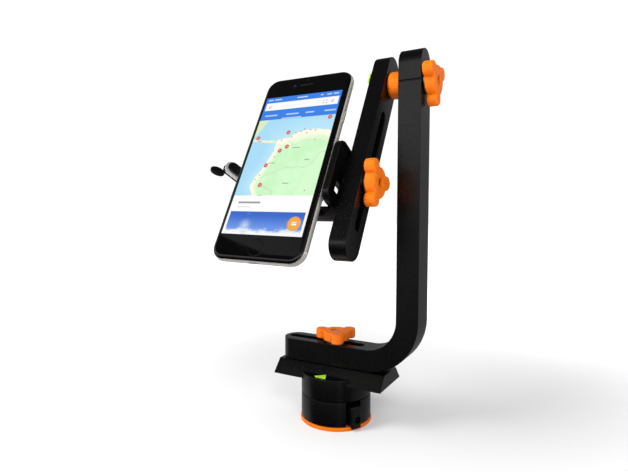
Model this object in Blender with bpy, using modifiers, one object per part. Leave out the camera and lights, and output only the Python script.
"""Phone-carrying panoramic mount: a click-stop pan base, an L-shaped arm on a dovetail plate,
a slotted swing arm hung from the top of the upright, and a phone clamp with a phone in it.

Run it with: blender --background --python part.py
Units are metres. +Z is up, the pan axis is Z, and the horizontal arm runs along X.
The driving dimensions below are in millimetres and are turned into metres by MM.
"""

import math

import bmesh
import bpy
from mathutils import Matrix, Vector

MM = 0.001
GAP = 0.3  # clearance between pieces that touch on the real object

# Base and pan head
BASE_R = 25.0
RING_R = 25.5
RING_H = 2.5
HOUSING_TOP = 19.65
HEAD_BOTTOM = 19.95
HEAD_TOP = 35.0
CHANNEL_FLOOR = 30.5
TRIPOD_BORE_R = 3.1

# Dovetail plate
PLATE_HALF_LENGTH = 41.5
PLATE_BOTTOM = 30.8
PLATE_TOP = 40.2
PLATE_HALF_BOTTOM = 19.0
PLATE_HALF_TOP = 10.75

# L-shaped arm
ARM_W = 20.0
ARM_T = 15.0
ARM_BOTTOM = 40.5
ARM_LEFT = -42.0
ARM_RIGHT = 63.6
ARM_TOP_Z = 253.0
BEND_INNER_R = 22.0
BASE_SLOT = (-38.5, 22.0)
SLOT_HALF = 3.3
PIVOT_Z = 232.0

# Swing arm, in its own frame: s runs down the arm from the pivot, n out of its front
SWING_TILT_DEG = 29.5
SWING_X = (28.8, 39.8)
SWING_UP = 22.0
SWING_DOWN = 126.0
SWING_SLOT = (22.0, 107.5)

# Knobs
KNOB_T = 7.1
KNOB_HUB_R = 9.2
KNOB_LOBE_R = 4.5
KNOB_LOBE_DIST = 11.3
WASHER_T = 0.8
BOLT_R = 3.0
BORE_R = 3.3

# Clamp
CLAMP_S = 75.0
JAW_X = (22.1, 26.2)

PAD_GAP = 0.6  # more than GAP, as the phone sits slightly askew between the pads

# Phone
PHONE_W, PHONE_L, PHONE_T = 67.1, 138.3, 7.1
PHONE_X, PHONE_S, PHONE_MID = -12.8, 68.23, 15.12
PHONE_TURN = (1.43, 0.70, -0.15)  # degrees about X, Y and Z, from how it was pushed in
PHONE_CORNER = 9.5

ARM_TOP = ARM_BOTTOM + ARM_T
TILT = math.radians(SWING_TILT_DEG)
PHONE_LEFT = PHONE_X - PHONE_W / 2
PHONE_RIGHT = PHONE_X + PHONE_W / 2

for old in list(bpy.data.objects):
    bpy.data.objects.remove(old, do_unlink=True)

parts = bpy.data.collections.new("panoramic_phone_mount")
cutters = bpy.data.collections.new("cutters")
bpy.context.scene.collection.children.link(parts)
bpy.context.scene.collection.children.link(cutters)
cutters.hide_render = True


# ---------------------------------------------------------------- materials


def material(name, colour, roughness, metallic=0.0, alpha=1.0):
    mat = bpy.data.materials.new(name)
    mat.use_nodes = True
    shader = mat.node_tree.nodes["Principled BSDF"]
    shader.inputs["Base Color"].default_value = (*colour, 1.0)
    shader.inputs["Roughness"].default_value = roughness
    shader.inputs["Metallic"].default_value = metallic
    shader.inputs["Alpha"].default_value = alpha
    return mat


def own(base, name):
    """A copy of a base material, so that every piece has its own."""
    mat = base.copy()
    mat.name = name + "_mat"
    return mat


ORANGE = material("orange_plastic", (0.90, 0.22, 0.02), 0.45)
BLACK = material("black_plastic", (0.02, 0.02, 0.022), 0.5)
RUBBER = material("black_rubber", (0.015, 0.015, 0.015), 0.8)
LIME = material("lime_plastic", (0.42, 0.75, 0.05), 0.5)
STEEL = material("steel", (0.62, 0.62, 0.64), 0.3, 1.0)
BRASS = material("brass", (0.80, 0.60, 0.25), 0.35, 1.0)
WHITE = material("white_plastic", (0.85, 0.85, 0.83), 0.4)
CHROME = material("chrome", (0.85, 0.85, 0.87), 0.12, 1.0)
SHELL = material("champagne_metal", (0.75, 0.71, 0.64), 0.3, 1.0)
GLASS = material("black_glass", (0.01, 0.01, 0.012), 0.08)
SCREEN = material("screen", (0.35, 0.55, 0.80), 0.2)
BOARD = material("board", (0.03, 0.12, 0.06), 0.6)


# ---------------------------------------------------------------- frames (empties on the joints' axes)


def empty(name, matrix):
    obj = bpy.data.objects.new(name, None)
    obj.empty_display_size = 0.01
    parts.objects.link(obj)
    obj.matrix_world = matrix
    return obj


def at(x, y, z):
    return Matrix.Translation(Vector((x, y, z)) * MM)


AXIS_X = Matrix.Rotation(math.radians(90), 4, "Y")  # local +Z becomes +X
AXIS_MINUS_X = Matrix.Rotation(math.radians(-90), 4, "Y")

WORLD = Matrix.Identity(4)
SWING = at(0, 0, PIVOT_Z) @ Matrix.Rotation(-TILT, 4, "X")


def swing_at(x, s, n):
    """A place in the swing arm's frame."""
    return SWING @ at(x, -n, -s)


FRAMES = {
    "base": WORLD,
    "pan_axis": WORLD,
    "arm_slide_axis": WORLD,
    "base_knob_axis": at(0, 0, ARM_TOP),
    "swing_axis": SWING,
    "pivot_knob_axis": at(ARM_RIGHT, 0, PIVOT_Z),
    "clamp_axis": swing_at(0, CLAMP_S, 0),
    "clamp_knob_axis": swing_at(SWING_X[1], CLAMP_S, 0),
    "jaw_axis": swing_at(PHONE_LEFT, CLAMP_S, 0),
    "phone_axis": swing_at(PHONE_X, PHONE_S, PHONE_MID),
}
EMPTIES = {name: empty(name, matrix) for name, matrix in FRAMES.items()}


# ---------------------------------------------------------------- shapes


def link(name, mesh, matrix, parent, base, cutter=False, smooth=True):
    """Makes the object, puts it at matrix in the world, and parents it without moving it."""
    obj = bpy.data.objects.new(name, mesh)
    (cutters if cutter else parts).objects.link(obj)
    obj.matrix_world = matrix
    if parent is not None:
        holder = EMPTIES[parent]
        obj.parent = holder
        obj.matrix_parent_inverse = holder.matrix_world.inverted()
        obj.matrix_world = matrix
    if cutter:
        obj.hide_render = True
        obj.display_type = "WIRE"
    else:
        mesh.materials.append(own(base, name))
        if smooth:
            mesh.shade_smooth()
            mesh.set_sharp_from_angle(angle=math.radians(35))
    return obj


def finish_mesh(bm, name):
    bmesh.ops.recalc_face_normals(bm, faces=bm.faces)
    mesh = bpy.data.meshes.new(name)
    bm.to_mesh(mesh)
    bm.free()
    return mesh


def box_mesh(name, size, bevel=0.0, segments=1, shift=(0, 0, 0)):
    """A box of the given size in millimetres, centred on shift, with bevelled edges."""
    bm = bmesh.new()
    bmesh.ops.create_cube(bm, size=1.0)
    for v in bm.verts:
        v.co = Vector([v.co[i] * size[i] * MM + shift[i] * MM for i in range(3)])
    if bevel:
        bmesh.ops.bevel(bm, geom=bm.edges[:], offset=bevel * MM, segments=segments, profile=0.5, affect="EDGES")
    return finish_mesh(bm, name)


def cylinder_mesh(name, radius, low, high, steps=22, bevel=0.0, segments=1):
    """A cylinder about local Z from low to high."""
    bm = bmesh.new()
    bmesh.ops.create_cone(
        bm, cap_ends=True, segments=steps, radius1=radius * MM, radius2=radius * MM, depth=(high - low) * MM
    )
    bmesh.ops.translate(bm, verts=bm.verts, vec=(0, 0, (low + high) / 2 * MM))
    if bevel:
        rims = [e for e in bm.edges if abs(e.verts[0].co.z - e.verts[1].co.z) < 1e-7]
        bmesh.ops.bevel(bm, geom=rims, offset=bevel * MM, segments=segments, profile=0.5, affect="EDGES")
    return finish_mesh(bm, name)


def turned(name, profile, matrix, parent, base, steps=32):
    """A turned ring or disc: the closed profile (radius, height) spun about local Z by a Screw modifier."""
    bm = bmesh.new()
    verts = [bm.verts.new((r * MM, 0, z * MM)) for r, z in profile]
    for a, b in zip(verts, verts[1:] + verts[:1]):
        bm.edges.new((a, b))
    mesh = bpy.data.meshes.new(name)
    bm.to_mesh(mesh)
    bm.free()
    obj = link(name, mesh, matrix, parent, base, smooth=False)
    screw = obj.modifiers.new("turn", "SCREW")
    screw.axis = "Z"
    screw.steps = steps
    screw.render_steps = steps
    screw.use_merge_vertices = True
    screw.merge_threshold = 1e-6
    screw.use_smooth_shade = False
    return obj


def ring_profile(outer, inner, low, high, chamfer=0.0):
    """Runs down the outer side and back up the inner side."""
    c = chamfer
    if c:
        return [(outer - c, high), (outer, high - c), (outer, low + c), (outer - c, low), (inner, low), (inner, high)]
    return [(outer, high), (outer, low), (inner, low), (inner, high)]


def outline_mesh(name, points, low, high, rounding=0.0, holes=()):
    """A flat outline in local XY, filled and extruded from low to high, with rounded rims."""
    curve = bpy.data.curves.new(name + "_curve", "CURVE")
    curve.dimensions = "2D"
    curve.fill_mode = "BOTH"
    curve.extrude = ((high - low) / 2 - rounding) * MM
    curve.bevel_depth = rounding * MM
    curve.bevel_resolution = 1
    for loop in (points, *holes):
        spline = curve.splines.new("POLY")
        spline.points.add(len(loop) - 1)
        for point, (x, y) in zip(spline.points, loop):
            point.co = (x * MM, y * MM, 0, 1)
        spline.use_cyclic_u = True
    guide = bpy.data.objects.new(name + "_guide", curve)
    cutters.objects.link(guide)
    graph = bpy.context.evaluated_depsgraph_get()
    mesh = bpy.data.meshes.new_from_object(guide.evaluated_get(graph))
    bpy.data.objects.remove(guide, do_unlink=True)
    bm = bmesh.new()
    bm.from_mesh(mesh)
    bpy.data.meshes.remove(mesh)
    bmesh.ops.remove_doubles(bm, verts=bm.verts, dist=2e-6)
    bmesh.ops.dissolve_limit(bm, angle_limit=math.radians(0.5), verts=bm.verts, edges=bm.edges)
    bmesh.ops.translate(bm, verts=bm.verts, vec=(0, 0, (low + high) / 2 * MM))
    return finish_mesh(bm, name)


def rounded_rect(width, height, radius, steps=6, centre=(0.0, 0.0)):
    points = []
    for cx, cy, start in ((1, 1, 0), (-1, 1, 90), (-1, -1, 180), (1, -1, 270)):
        for i in range(steps + 1):
            a = math.radians(start + 90 * i / steps)
            points.append(
                (
                    centre[0] + cx * (width / 2 - radius) + radius * math.cos(a),
                    centre[1] + cy * (height / 2 - radius) + radius * math.sin(a),
                )
            )
    return points


def circle_points(radius, steps=16, centre=(0.0, 0.0)):
    return [
        (centre[0] + radius * math.cos(2 * math.pi * i / steps), centre[1] + radius * math.sin(2 * math.pi * i / steps))
        for i in range(steps)
    ]


def boolean(obj, other, operation="DIFFERENCE"):
    modifier = obj.modifiers.new(operation.lower(), "BOOLEAN")
    modifier.operation = operation
    modifier.object = other
    modifier.solver = "EXACT"
    return modifier


def cut(obj, mesh, matrix, parent=None):
    boolean(obj, link(mesh.name, mesh, matrix, parent, None, cutter=True))


def join(obj, mesh, matrix, parent=None):
    boolean(obj, link(mesh.name, mesh, matrix, parent, None, cutter=True), "UNION")


def slot_mesh(name, half, start, end, low, high, steps=12):
    """A slot along local X from start to end, with round ends."""
    points = []
    for centre, first in ((end - half, -90), (start + half, 90)):
        for i in range(steps + 1):
            a = math.radians(first + 180 * i / steps)
            points.append((centre + half * math.cos(a), half * math.sin(a)))
    return outline_mesh(name, points, low, high)


# ---------------------------------------------------------------- base

turned("base_ring", ring_profile(RING_R, 6.9, 0, RING_H, 0.5), WORLD, "base", ORANGE, steps=40)
turned("tripod_insert", ring_profile(6.4, TRIPOD_BORE_R, 0.3, 8.4, 0.3), WORLD, "base", BRASS, steps=22)

housing = link(
    "lower_housing",
    cylinder_mesh("lower_housing", BASE_R, RING_H + GAP, HOUSING_TOP, steps=40, bevel=0.4),
    WORLD,
    "base",
    BLACK,
)
cut(housing, cylinder_mesh("housing_recess", 6.9, 0, 14.0, steps=22), WORLD)
cut(housing, cylinder_mesh("housing_bore", 4.3, 5.0, 25.0, steps=16), WORLD)
cut(housing, cylinder_mesh("housing_washer_seat", 14.4, 18.5, 25.0, steps=28), WORLD)

# The lock block sits in a pocket in the housing's side, and slides in and out on its screw.
LOCK = Matrix.Rotation(math.radians(-29.0), 4, "Z")  # local +X is radial
LOCK_Y = -0.5  # the lock screw stands a little off the block's middle
EMPTIES["lock_axis"] = empty("lock_axis", LOCK @ at(BASE_R, LOCK_Y, 7.5))
cut(housing, box_mesh("housing_pocket", (20.0, 11.4, 30.0), shift=(15.2 + 10.0, -2.0, 17.0 + 2.0 - 4.0)), LOCK)
cut(housing, cylinder_mesh("housing_lock_bore", 2.2, 9.5, 20.0, steps=12), LOCK @ at(0, LOCK_Y, 7.5) @ AXIS_X)
lock_block = link(
    "lock_block",
    box_mesh("lock_block", (8.6, 8.4, 14.1), bevel=0.8, segments=2, shift=(23.0, -1.5, 9.95)),
    LOCK,
    "lock_axis",
    BLACK,
)
join(lock_block, box_mesh("lock_lip", (1.6, 7.6, 4.2), bevel=0.5, shift=(26.7, -1.6, 3.9)), LOCK)
cut(lock_block, cylinder_mesh("lock_hole", 2.5, 10.0, 35.0, steps=16), LOCK @ at(0, LOCK_Y, 7.5) @ AXIS_X)
lock_screw = link(
    "lock_screw",
    cylinder_mesh("lock_screw", 1.9, 10.2, 25.6, steps=12, bevel=0.3),
    LOCK @ at(0, LOCK_Y, 7.5) @ AXIS_X,
    "lock_axis",
    STEEL,
)
cut(lock_screw, cylinder_mesh("lock_screw_hex", 1.1, 23.6, 27.0, steps=6), LOCK @ at(0, LOCK_Y, 7.5) @ AXIS_X)


def coil(name, radius, wire, low, high, turns, matrix, parent, base, per_turn=10):
    """A coil spring about local Z."""
    curve = bpy.data.curves.new(name, "CURVE")
    curve.dimensions = "3D"
    curve.bevel_depth = wire / 2 * MM
    curve.bevel_resolution = 1
    curve.use_fill_caps = True
    spline = curve.splines.new("POLY")
    count = int(turns * per_turn) + 1
    spline.points.add(count - 1)
    for i, point in enumerate(spline.points):
        a = 2 * math.pi * i / per_turn
        z = low + wire / 2 + (high - low - wire) * i / (count - 1)
        point.co = (radius * math.cos(a) * MM, radius * math.sin(a) * MM, z * MM, 1)
    obj = bpy.data.objects.new(name, curve)
    parts.objects.link(obj)
    obj.matrix_world = matrix
    holder = EMPTIES[parent]
    obj.parent = holder
    obj.matrix_parent_inverse = holder.matrix_world.inverted()
    obj.matrix_world = matrix
    curve.materials.append(own(base, name))
    return obj


coil("lock_spring", 1.5, 0.5, 15.5, 18.4, 3, LOCK @ at(0, LOCK_Y, 13.6) @ AXIS_X, "base", STEEL, per_turn=8)

turned("thrust_washer", ring_profile(14.0, 4.6, 18.8, 20.0), WORLD, "base", WHITE, steps=28)
pan_nut = link("pan_nut", cylinder_mesh("pan_nut", 6.4, 8.8, 13.6, steps=6), WORLD, "base", STEEL, smooth=False)
cut(pan_nut, cylinder_mesh("pan_nut_bore", 4.3, 0, 20, steps=16), WORLD)
pan_screw = link("pan_screw", cylinder_mesh("pan_screw", 7.0, 24.4, 30.1, steps=22, bevel=0.4), WORLD, "base", STEEL)
join(pan_screw, cylinder_mesh("pan_screw_shank", 4.0, 9.2, 25.0, steps=16), WORLD)
cut(pan_screw, cylinder_mesh("pan_screw_hex", 3.4, 27.4, 32.0, steps=6), WORLD)

# ---------------------------------------------------------------- pan head

head = link(
    "pan_head", cylinder_mesh("pan_head", BASE_R, HEAD_BOTTOM, HEAD_TOP, steps=40, bevel=0.35), WORLD, "pan_axis", BLACK
)
slope = (PLATE_HALF_BOTTOM - PLATE_HALF_TOP) / (PLATE_TOP - PLATE_BOTTOM)


def trapezoid(half_bottom, low, high):
    top = half_bottom - slope * (high - low)
    return [(-half_bottom, low), (half_bottom, low), (top, high), (-top, high)]


# Outline in local XY with local Z along the arm: X is -world Y, Y is world Z.
ALONG_X = Matrix(((0, 0, 1, 0), (-1, 0, 0, 0), (0, 1, 0, 0), (0, 0, 0, 1)))
cut(
    head,
    outline_mesh("head_channel", trapezoid(PLATE_HALF_BOTTOM + 0.6, CHANNEL_FLOOR, HEAD_TOP + 3.0), -40, 40),
    ALONG_X,
)
cut(head, cylinder_mesh("head_bore", 5.4, 15, 28, steps=20), WORLD)
cut(head, cylinder_mesh("head_counterbore", 7.4, 24.1, 34, steps=22), WORLD)
cut(head, cylinder_mesh("head_washer_seat", 14.4, 15.0, 20.3, steps=28), WORLD)
turned("pan_bushing", ring_profile(5.1, 4.3, 20.4, 24.0), WORLD, "pan_axis", BRASS, steps=20)

ARROW = [(-5.6, -22.6), (0.6, -16.4), (3.4, -22.6)]
pointer = link(
    "pan_pointer", outline_mesh("pan_pointer", ARROW, HEAD_TOP + 0.05, HEAD_TOP + 0.9), WORLD, "pan_axis", LIME, smooth=False
)

plate = link(
    "dovetail_plate",
    outline_mesh(
        "dovetail_plate",
        trapezoid(PLATE_HALF_BOTTOM, PLATE_BOTTOM, PLATE_TOP),
        -PLATE_HALF_LENGTH,
        PLATE_HALF_LENGTH,
    ),
    ALONG_X,
    "pan_axis",
    BLACK,
    smooth=False,
)
cut(plate, cylinder_mesh("plate_bolt_hole", BORE_R, 20, 50, steps=16), WORLD)
cut(plate, cylinder_mesh("plate_bolt_seat", 7.3, 28, 34.7, steps=22), WORLD)
for side, x in (("a", -14.0), ("b", 14.0)):
    cut(plate, cylinder_mesh("plate_screw_hole_" + side, 2.3, 20, 50, steps=12), at(x, 0, 0))
    cut(plate, cylinder_mesh("plate_screw_seat_" + side, 4.1, 36.6, 50, steps=16), at(x, 0, 0))
    cut(head, cylinder_mesh("head_screw_hole_" + side, 2.3, 22.5, 50, steps=12), at(x, 0, 0))
    screw = link(
        "plate_screw_" + side,
        cylinder_mesh("plate_screw_" + side, 3.8, 36.9, 39.9, steps=16, bevel=0.3),
        at(x, 0, 0),
        "pan_axis",
        STEEL,
    )
    join(screw, cylinder_mesh("plate_screw_shank_" + side, 2.0, 23.0, 37.5, steps=12), at(x, 0, 0))
    cut(screw, cylinder_mesh("plate_screw_hex_" + side, 1.8, 38.3, 42, steps=6), at(x, 0, 0))

base_bolt = link("base_bolt", cylinder_mesh("base_bolt", 7.0, 31.1, 34.4, steps=22, bevel=0.4), WORLD, "pan_axis", STEEL)
join(base_bolt, cylinder_mesh("base_bolt_shank", BOLT_R, 33.5, 63.4, steps=16, bevel=0.3), WORLD)


# ---------------------------------------------------------------- knobs


def knob_outline(hub, lobe, distance, inset, steps=12):
    """Three round lobes on a round hub, meeting it in a crease. The angle is measured from a lobe's axis."""
    hub, lobe = hub - inset, lobe - inset
    foot = math.acos((hub**2 + distance**2 - lobe**2) / (2 * hub * distance))
    points = []
    for k in range(3):
        base = math.radians(120 * k)
        # Round the lobe by the angle about its own centre, from crease to crease.
        reach = math.pi - math.asin(min(1.0, hub * math.sin(foot) / lobe))
        if hub * math.cos(foot) > distance:
            reach = math.pi - reach
        for i in range(steps + 1):
            w = -reach + 2 * reach * i / steps
            x, y = distance + lobe * math.cos(w), lobe * math.sin(w)
            r, a = math.hypot(x, y), math.atan2(y, x)
            points.append((r * math.cos(base + a), r * math.sin(base + a)))
        gap = math.radians(120) - 2 * foot
        for i in range(1, 6):
            a = base + foot + gap * i / 6
            points.append((hub * math.cos(a), hub * math.sin(a)))
    return points


def knob(prefix, seat, parent, nut_name, mouth=3.3):
    """A knob whose back is at local z = 0 of seat, with a captive nut in a pocket in its back."""
    mesh = outline_mesh(
        prefix, knob_outline(KNOB_HUB_R, KNOB_LOBE_R, KNOB_LOBE_DIST, 1.0), 0, KNOB_T, rounding=1.0
    )
    obj = link(prefix, mesh, seat, parent, ORANGE)
    cut(obj, cylinder_mesh(prefix + "_pocket", 6.2, -3.0, 5.0, steps=20), seat)
    cut(obj, cylinder_mesh(prefix + "_mouth", mouth, 3.0, 12.0, steps=20), seat)
    nut = link(nut_name, cylinder_mesh(nut_name, 5.8, 0.3, 4.7, steps=6), seat, parent, STEEL, smooth=False)
    cut(nut, cylinder_mesh(nut_name + "_bore", BORE_R, -3, 9, steps=16), seat)
    return obj


BASE_KNOB_Z = ARM_TOP + GAP + WASHER_T + GAP
turned(
    "base_washer",
    ring_profile(7.5, BORE_R, ARM_TOP + GAP, ARM_TOP + GAP + WASHER_T),
    WORLD,
    "pan_axis",
    STEEL,
    steps=22,
)
knob("base_knob", at(0, 0, BASE_KNOB_Z) @ Matrix.Rotation(math.radians(60), 4, "Z"), "base_knob_axis", "base_nut", mouth=3.5)

# ---------------------------------------------------------------- L-shaped arm

bend_x = ARM_RIGHT - ARM_T - BEND_INNER_R
bend_z = ARM_TOP + BEND_INNER_R
arm_outline = [(ARM_LEFT, ARM_TOP), (ARM_LEFT, ARM_BOTTOM)]
for i in range(13):
    a = math.radians(-90 + 90 * i / 12)
    r = BEND_INNER_R + ARM_T
    arm_outline.append((bend_x + r * math.cos(a), bend_z + r * math.sin(a)))
arm_outline += [(ARM_RIGHT, ARM_TOP_Z), (ARM_RIGHT - ARM_T, ARM_TOP_Z)]
for i in range(13):
    a = math.radians(-90 * i / 12)
    r = BEND_INNER_R
    arm_outline.append((bend_x + r * math.cos(a), bend_z + r * math.sin(a)))
# Outline in local XY, standing up: local X is world X, local Y is world Z, local Z is -world Y.
UPRIGHT = Matrix.Rotation(math.radians(90), 4, "X")
arm_mesh = outline_mesh("l_arm", arm_outline, -ARM_W / 2, ARM_W / 2)
bm = bmesh.new()
bm.from_mesh(arm_mesh)
ends = []
for e in bm.edges:
    a, b = e.verts[0].co, e.verts[1].co
    at_left = all(abs(p.x - ARM_LEFT * MM) < 1e-6 for p in (a, b)) and abs(a.y - b.y) > 0.01
    at_top = all(abs(p.y - ARM_TOP_Z * MM) < 1e-6 for p in (a, b)) and abs(a.x - b.x) > 0.01
    if at_left or at_top:
        ends.append(e)
bmesh.ops.bevel(bm, geom=ends, offset=(ARM_W / 2 - 0.15) * MM, segments=10, profile=0.5, affect="EDGES")
bm.to_mesh(arm_mesh)
bm.free()
l_arm = link("l_arm", arm_mesh, UPRIGHT, "arm_slide_axis", BLACK)
cut(l_arm, slot_mesh("arm_slot", SLOT_HALF, BASE_SLOT[0], BASE_SLOT[1], 30, 60), WORLD)
cut(l_arm, cylinder_mesh("arm_pivot_hole", 4.6, 40, 70, steps=20), at(0, 0, PIVOT_Z) @ AXIS_X)
cut(l_arm, box_mesh("arm_index_line", (30.0, 1.2, 0.8), shift=(ARM_RIGHT - ARM_T / 2, -ARM_W / 2, PIVOT_Z)), WORLD)
turned(
    "pivot_bush",
    ring_profile(4.3, BORE_R, ARM_RIGHT - ARM_T + 0.1, ARM_RIGHT - 0.1),
    at(0, 0, PIVOT_Z) @ AXIS_X,
    "arm_slide_axis",
    BRASS,
    steps=20,
)
spacer_low, spacer_high = SWING_X[1] + GAP, ARM_RIGHT - ARM_T - GAP
turned(
    "pivot_spacer",
    [
        (7.7, spacer_high),
        (8.7, spacer_high - 1.0),
        (8.7, spacer_low + 1.6),
        (8.2, spacer_low + 0.5),
        (7.3, spacer_low),
        (BORE_R, spacer_low),
        (BORE_R, spacer_high),
    ],
    at(0, 0, PIVOT_Z) @ AXIS_X,
    "arm_slide_axis",
    ORANGE,
    steps=26,
)

# ---------------------------------------------------------------- swing arm

# Local X is world X, local Y is -n, local Z is -s.
swing_mesh = box_mesh(
    "swing_arm",
    (SWING_X[1] - SWING_X[0], ARM_W, SWING_UP + SWING_DOWN),
    shift=(sum(SWING_X) / 2, 0, (SWING_UP - SWING_DOWN) / 2),
)
bm = bmesh.new()
bm.from_mesh(swing_mesh)
ends = [e for e in bm.edges if abs(e.verts[0].co.x - e.verts[1].co.x) > 0.005]
bmesh.ops.bevel(bm, geom=ends, offset=(ARM_W / 2 - 0.15) * MM, segments=10, profile=0.5, affect="EDGES")
bm.to_mesh(swing_mesh)
bm.free()
swing_arm = link("swing_arm", swing_mesh, SWING, "swing_axis", BLACK)
# The slot's cutter runs down the arm: local X becomes -Z, local Z becomes X.
DOWN_ARM = Matrix(((0, 0, 1, 0), (0, 1, 0, 0), (-1, 0, 0, 0), (0, 0, 0, 1)))
cut(swing_arm, slot_mesh("swing_slot", SLOT_HALF, SWING_SLOT[0], SWING_SLOT[1], 20, 50), SWING @ DOWN_ARM)
cut(swing_arm, cylinder_mesh("swing_pivot_hole", BORE_R, 20, 50, steps=16), SWING @ AXIS_X)
cut(swing_arm, cylinder_mesh("swing_bolt_seat", 5.4, 20, 33.0, steps=20), SWING @ AXIS_X)
link(
    "swing_pointer",
    outline_mesh("swing_pointer", [(-9.8, -3.6), (-9.8, 4.6), (-3.0, 0.5)], -0.5, 0.5),
    swing_at(28.0, 0, 0) @ Matrix(((0, 0, 1, 0), (1, 0, 0, 0), (0, 1, 0, 0), (0, 0, 0, 1))),
    "swing_axis",
    LIME,
    smooth=False,
)
pivot_bolt = link(
    "pivot_bolt", cylinder_mesh("pivot_bolt", 5.1, 29.2, 32.7, steps=20, bevel=0.3), SWING @ AXIS_X, "swing_axis", STEEL
)
join(pivot_bolt, cylinder_mesh("pivot_bolt_shank", BOLT_R, 32.0, 69.0, steps=16, bevel=0.3), SWING @ AXIS_X)
cut(pivot_bolt, cylinder_mesh("pivot_bolt_hex", 2.4, 20, 31.0, steps=6), SWING @ AXIS_X)
turned(
    "pivot_washer",
    ring_profile(7.5, BORE_R, ARM_RIGHT + GAP, ARM_RIGHT + GAP + WASHER_T),
    SWING @ AXIS_X,
    "swing_axis",
    STEEL,
    steps=22,
)
# The lobes' angles come from how the knob was left when it was tightened.
knob(
    "pivot_knob",
    at(ARM_RIGHT + 2 * GAP + WASHER_T, 0, PIVOT_Z) @ AXIS_X @ Matrix.Rotation(math.radians(1), 4, "Z"),
    "pivot_knob_axis",
    "pivot_nut",
)

# ---------------------------------------------------------------- clamp

CLAMP = swing_at(0, CLAMP_S, 0)
# Outlines of the jaws: local X is n, local Y is -s, local Z is X.
SIDE = Matrix(((0, 0, 1, 0), (-1, 0, 0, 0), (0, 1, 0, 0), (0, 0, 0, 1)))
JAW_N = (-12.0, 20.5)
JAW_HALF_L = 21.3
JAW_EDGE = 0.8


def jaw_corner(side, radius_front, radius_back):
    """Half of the jaw's outline, on the side (1 or -1) of its middle; local X is n, local Y is along it."""
    points = []
    for n, radius, start in ((JAW_N[1], radius_front, 0), (JAW_N[0], radius_back, 90)):
        inward = 1 if n == JAW_N[1] else -1
        for i in range(7):
            a = math.radians(start + 90 * i / 6)
            r = radius - JAW_EDGE
            points.append(
                (
                    n - inward * radius + r * math.cos(a),
                    side * (JAW_HALF_L - radius + r * math.sin(a)),
                )
            )
    return points


jaw_outline = jaw_corner(1, 7.5, 5.0) + jaw_corner(-1, 7.5, 5.0)[::-1]
fixed_jaw = link(
    "fixed_jaw",
    outline_mesh("fixed_jaw", jaw_outline, JAW_X[0], JAW_X[1], rounding=0.8),
    CLAMP @ SIDE,
    "clamp_axis",
    BLACK,
)


def clamp_box(name, x, s, n, bevel=0.0):
    """A box between two values of x, of s along the arm and of n out of its front."""
    return box_mesh(
        name,
        (x[1] - x[0], n[1] - n[0], s[1] - s[0]),
        bevel=bevel,
        shift=(sum(x) / 2, -sum(n) / 2, -(sum(s) / 2 - CLAMP_S)),
    )


BAR_S = (95.3, 102.0)
BAR_N = (0.5, 8.0)
join(fixed_jaw, clamp_box("jaw_bar", (-18.0, 28.4), BAR_S, BAR_N), CLAMP)
join(fixed_jaw, clamp_box("jaw_neck", (7.0, 24.0), (66.0, 78.5), (-2.0, 8.3)), CLAMP)
join(fixed_jaw, clamp_box("jaw_body", (-19.0, 11.0), (58.0, 86.0), (-3.0, 9.0)), CLAMP)
join(fixed_jaw, clamp_box("jaw_web", (-17.0, -6.0), (83.0, 97.5), (1.2, 7.4)), CLAMP)
cut(fixed_jaw, cylinder_mesh("jaw_bolt_hole", BORE_R, 10, 40, steps=16), CLAMP @ AXIS_X)
cut(fixed_jaw, cylinder_mesh("jaw_bolt_seat", 5.4, 17.0, 24.9, steps=20), CLAMP @ AXIS_X)
cut(fixed_jaw, clamp_box("jaw_window", (20.0, 30.0), (80.6, 87.2), (2.2, 12.2)), CLAMP)

ROD_A = (64.5, 3.0)  # s and n of the sprung rod
ROD_B = (98.2, 4.2)  # s and n of the plain rod
ROD_R = 1.75
cut(fixed_jaw, cylinder_mesh("rod_a_bore", 2.05, -30, 0, steps=12), swing_at(0, *ROD_A) @ AXIS_X)
cut(fixed_jaw, cylinder_mesh("spring_chamber", 3.5, -14.0, 7.0, steps=16), swing_at(0, *ROD_A) @ AXIS_X)
cut(fixed_jaw, clamp_box("spring_mouth", (-12.4, 5.6), (61.9, 67.1), (-8.0, 2.6)), CLAMP)
cut(fixed_jaw, cylinder_mesh("rod_b_bore", 2.05, -30, 22, steps=12), swing_at(0, *ROD_B) @ AXIS_X)

hub_mesh = cylinder_mesh("clamp_hub", 9.0, 26.5, 28.4, steps=22, bevel=0.4)
clamp_hub = link("clamp_hub", hub_mesh, CLAMP @ AXIS_X, "clamp_axis", BLACK)
cut(clamp_hub, cylinder_mesh("clamp_hub_bore", BORE_R, 20, 40, steps=16), CLAMP @ AXIS_X)
clamp_bolt = link(
    "clamp_bolt", cylinder_mesh("clamp_bolt", 5.1, 22.3, 24.6, steps=20, bevel=0.3), CLAMP @ AXIS_X, "clamp_axis", STEEL
)
join(clamp_bolt, cylinder_mesh("clamp_bolt_shank", BOLT_R, 23.5, 45.5, steps=16, bevel=0.3), CLAMP @ AXIS_X)
turned(
    "clamp_washer",
    ring_profile(7.5, BORE_R, SWING_X[1] + GAP, SWING_X[1] + GAP + WASHER_T),
    CLAMP @ AXIS_X,
    "clamp_axis",
    STEEL,
    steps=22,
)
knob(
    "clamp_knob",
    swing_at(SWING_X[1] + 2 * GAP + WASHER_T, CLAMP_S, 0)
    @ Matrix.Rotation(TILT, 4, "X")
    @ AXIS_X
    @ Matrix.Rotation(math.radians(90), 4, "Z"),
    "clamp_knob_axis",
    "clamp_nut",
)
pad_outline = rounded_rect(7.6, 36.0, 3.0, steps=4, centre=(14.7, 0))
link(
    "fixed_pad",
    outline_mesh("fixed_pad", pad_outline, PHONE_RIGHT + PAD_GAP, JAW_X[0] - GAP),
    CLAMP @ SIDE,
    "clamp_axis",
    RUBBER,
)

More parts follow.
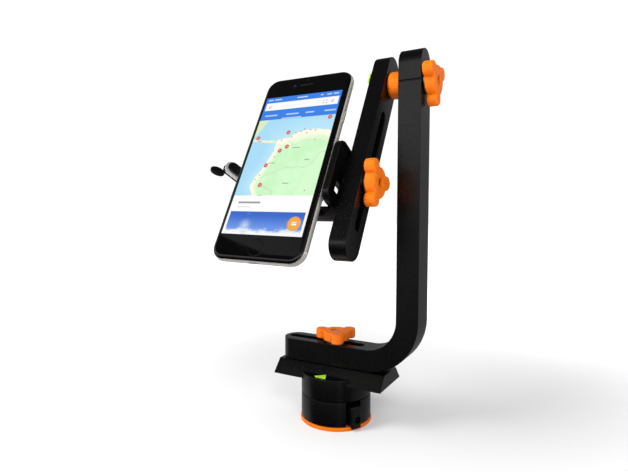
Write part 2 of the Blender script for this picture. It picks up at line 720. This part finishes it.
# Moving jaw, on the phone's other side
MOVE_X = (PHONE_LEFT - 5.6, PHONE_LEFT - 1.9)
CARRIER_X = (PHONE_LEFT - 3.4, PHONE_LEFT + 12.0)
moving_jaw = link(
    "moving_jaw",
    clamp_box("moving_jaw", MOVE_X, (77.5, 91.5), (-2.0, 11.4), bevel=1.2),
    CLAMP,
    "jaw_axis",
    BLACK,
)
join(moving_jaw, clamp_box("moving_carrier", CARRIER_X, (59.5, 101.2), (-3.2, 7.6), bevel=0.6), CLAMP)
for name, (s, n) in (("rod_a", ROD_A), ("rod_b", ROD_B)):
    cut(moving_jaw, cylinder_mesh(name + "_socket", ROD_R + 0.3, -43.0, -30.0, steps=12), swing_at(0, s, n) @ AXIS_X)
rod_a = link(
    "slide_rod_a",
    cylinder_mesh("slide_rod_a", ROD_R, -42.6, 3.0, steps=12, bevel=0.3),
    swing_at(0, *ROD_A) @ AXIS_X,
    "jaw_axis",
    STEEL,
)
join(rod_a, cylinder_mesh("slide_rod_a_collar", 3.1, 0.5, 3.2, steps=16), swing_at(0, *ROD_A) @ AXIS_X)
link(
    "slide_rod_b",
    cylinder_mesh("slide_rod_b", ROD_R, -42.6, 18.0, steps=12, bevel=0.3),
    swing_at(0, *ROD_B) @ AXIS_X,
    "jaw_axis",
    STEEL,
)
coil("jaw_spring", 2.65, 0.7, -13.7, 0.2, 5, swing_at(0, *ROD_A) @ AXIS_X, "clamp_axis", STEEL, per_turn=10)
link(
    "moving_pad",
    outline_mesh(
        "moving_pad",
        rounded_rect(4.6, 12.4, 1.5, steps=4, centre=(12.4, -9.5)),
        MOVE_X[1] + GAP,
        PHONE_LEFT - PAD_GAP,
    ),
    CLAMP @ SIDE,
    "jaw_axis",
    RUBBER,
)

# The lever turns about its own long axis in a slanting bore of the moving jaw. It is a sandwich of
# oblong plates: a black cap, a bright band with a groove and a black foot, which carries the wing.
# LEVER_LONG and LEVER_FACE are its long axis and its face's normal, as x, s and n.
LEVER_FROM = (-59.6, 66.35, 10.0)
LEVER_LONG = (0.703, 0.359, -0.615)
LEVER_FACE = (0.698, -0.182, 0.692)
LEVER_REACH = 6.5


def swing_direction(x, s, n):
    return (SWING.to_3x3() @ Vector((x, -n, -s))).normalized()


def frame_of(place, long_axis, normal):
    """A frame with local X along long_axis and local Z as near to normal as that allows."""
    across = normal.cross(long_axis).normalized()
    turn = Matrix((long_axis, across, long_axis.cross(across))).transposed().to_4x4()
    return Matrix.Translation(place) @ turn


LEVER = frame_of(
    swing_at(*LEVER_FROM).to_translation(), swing_direction(*LEVER_LONG), swing_direction(*LEVER_FACE)
)
EMPTIES["lever_axis"] = empty("lever_axis", LEVER)


def oblong(name, half, low, high, rounding=0.0, steps=8, start=0.0):
    """A round-ended plate about the lever's first centre and its second one, LEVER_REACH further on."""
    half = half - rounding
    points = []
    for centre, first in ((LEVER_REACH, -90), (start, 90)):
        for i in range(steps + 1):
            a = math.radians(first + 180 * i / steps)
            points.append((centre + half * math.cos(a), half * math.sin(a)))
    return outline_mesh(name, points, low, high, rounding=rounding)


link("lever_cap", oblong("lever_cap", 3.7, 0.6, 2.2, rounding=0.4), LEVER, "lever_axis", BLACK)
lever_ring = link("lever_ring", oblong("lever_ring", 5.0, -2.4, 0.3, rounding=0.3, start=-0.6), LEVER, "lever_axis", CHROME)
WING = (-71.8, 68.9, 11.2)
WING_LONG = (0.800, 0.158, -0.579)
WING_FACE = (0.494, -0.376, 0.784)
wing_frame = frame_of(swing_at(*WING).to_translation(), swing_direction(*WING_LONG), swing_direction(*WING_FACE))
wing_points = [(4.9 * math.cos(2 * math.pi * i / 28), 3.0 * math.sin(2 * math.pi * i / 28)) for i in range(28)]
lever_wing = link("lever_wing", oblong("lever_wing", 4.4, -4.1, -2.95, rounding=0.3, start=-1.2), LEVER, "lever_axis", BLACK)
join(lever_wing, outline_mesh("lever_paddle", [(x * 0.9, y * 0.85) for x, y in wing_points], -1.4, 1.4, rounding=0.5), wing_frame)
stem_from = wing_frame @ Vector((3.2 * MM, 0, -0.2 * MM))
stem_to = LEVER @ Vector((-1.0 * MM, -0.5 * MM, -3.6 * MM))
stem_dir = stem_to - stem_from
STEM = Matrix.Translation(stem_from) @ stem_dir.to_track_quat("Z", "Y").to_matrix().to_4x4()
join(lever_wing, cylinder_mesh("lever_stem", 0.95, 0.0, stem_dir.length / MM, steps=12), STEM)
SHAFT = LEVER @ at(0, 0, -1.2) @ AXIS_X
join(lever_ring, cylinder_mesh("lever_shaft", 1.6, 8.0, 18.0, steps=12), SHAFT)
cut(moving_jaw, cylinder_mesh("lever_bore", 1.95, 8.0, 19.0, steps=12), SHAFT)

# ---------------------------------------------------------------- phone

# Local X is world X, local Y is up the arm, local Z is n from the phone's back, all turned a little.
FACE = Matrix(((1, 0, 0, 0), (0, 0, -1, 0), (0, 1, 0, 0), (0, 0, 0, 1)))
phone_turn = Vector(PHONE_TURN)
phone_place = Matrix.Translation(swing_at(PHONE_X, PHONE_S, PHONE_MID).to_translation())
phone_rotation = Matrix.Rotation(math.radians(phone_turn.length), 4, phone_turn.normalized())
PHONE = phone_place @ phone_rotation @ SWING.to_3x3().to_4x4() @ FACE @ at(0, 0, -PHONE_T / 2)
shell_side = 1.4
shell_high = PHONE_T - 1.3
phone_shell = link(
    "phone_shell",
    outline_mesh(
        "phone_shell",
        rounded_rect(PHONE_W - 2 * shell_side, PHONE_L - 2 * shell_side, PHONE_CORNER - shell_side, steps=6),
        0,
        shell_high,
        rounding=shell_side,
    ),
    PHONE,
    "phone_axis",
    SHELL,
)
cut(
    phone_shell,
    outline_mesh("phone_cavity", rounded_rect(PHONE_W - 3.2, PHONE_L - 3.2, PHONE_CORNER - 1.6, steps=5), 1.2, 12),
    PHONE,
)
phone_glass = link(
    "phone_glass",
    outline_mesh(
        "phone_glass",
        rounded_rect(PHONE_W - 1.8, PHONE_L - 1.8, PHONE_CORNER - 0.9, steps=6),
        shell_high + 0.2,
        PHONE_T,
        holes=(circle_points(5.75, 28, (0, -60.2)),),
    ),
    PHONE,
    "phone_axis",
    GLASS,
)
link(
    "phone_display",
    box_mesh("phone_display", (58.5, 104.05, 0.7), shift=(0, 0, shell_high - 0.35)),
    PHONE,
    "phone_axis",
    SCREEN,
    smooth=False,
)
link(
    "phone_home_key",
    cylinder_mesh("phone_home_key", 5.4, 4.9, PHONE_T - 0.1, steps=20, bevel=0.15),
    PHONE @ at(0, -60.2, 0),
    "phone_axis",
    GLASS,
)
link("phone_battery", box_mesh("phone_battery", (34.0, 92.0, 3.2), bevel=0.5, shift=(-13.0, -2.0, 3.2)), PHONE, "phone_axis", BLACK)
link("phone_board", box_mesh("phone_board", (20.0, 108.0, 2.2), shift=(17.5, 4.0, 2.8)), PHONE, "phone_axis", BOARD, smooth=False)
